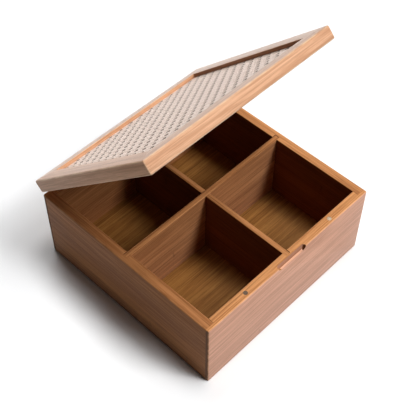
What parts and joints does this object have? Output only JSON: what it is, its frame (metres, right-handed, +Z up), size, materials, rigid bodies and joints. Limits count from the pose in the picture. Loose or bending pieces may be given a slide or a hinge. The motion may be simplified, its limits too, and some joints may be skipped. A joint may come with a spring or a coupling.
{
  "type": "tea bag organizer box",
  "caption": "Square bamboo box with crossed dividers and a friction-held hinged lid of mitred rails filled with cane webbing; finger notch and magnets at the front.",
  "frame": {"origin": "middle of the underside, on the table", "axes": "+X to the right of a person facing the finger notch, +Y from the notched front wall to the hinged back wall, +Z up"},
  "size_m": [0.2, 0.2083, 0.2267],
  "materials": {
    "bamboo": "satin",
    "bamboo_lid": "satin",
    "bamboo_floor": "satin",
    "cane": "matte",
    "magnet": "satin",
    "hinge_brass": "satin"
  },
  "bodies": {
    "box": {"front_wall": "bamboo", "back_wall": "bamboo", "left_wall": "bamboo", "right_wall": "bamboo", "floor_panel": "bamboo_floor", "divider_front_to_back": "bamboo", "divider_side_to_side": "bamboo", "box_magnet_left": "magnet", "box_magnet_right": "magnet", "hinge_left_box_leaf": "hinge_brass", "hinge_left_pin": "hinge_brass", "hinge_right_box_leaf": "hinge_brass", "hinge_right_pin": "hinge_brass", "box_hinge_screws": "hinge_brass"},
    "lid": {"lid_front_rail": "bamboo_lid", "lid_back_rail": "bamboo_lid", "lid_left_rail": "bamboo_lid", "lid_right_rail": "bamboo_lid", "lid_backing_panel": "bamboo_floor", "cane_webbing": "cane", "lid_magnet_left": "magnet", "lid_magnet_right": "magnet", "hinge_left_lid_leaf": "hinge_brass", "hinge_right_lid_leaf": "hinge_brass", "lid_hinge_screws": "hinge_brass"}
  },
  "joints": [
    {"name": "lid_hinge", "type": "hinge", "parent": "box", "child": "lid", "pos_m": [0, 0.10175, 0.07915], "axis": [-1, 0, 0], "range_deg": [-43.7, 136.3]}
  ]
}
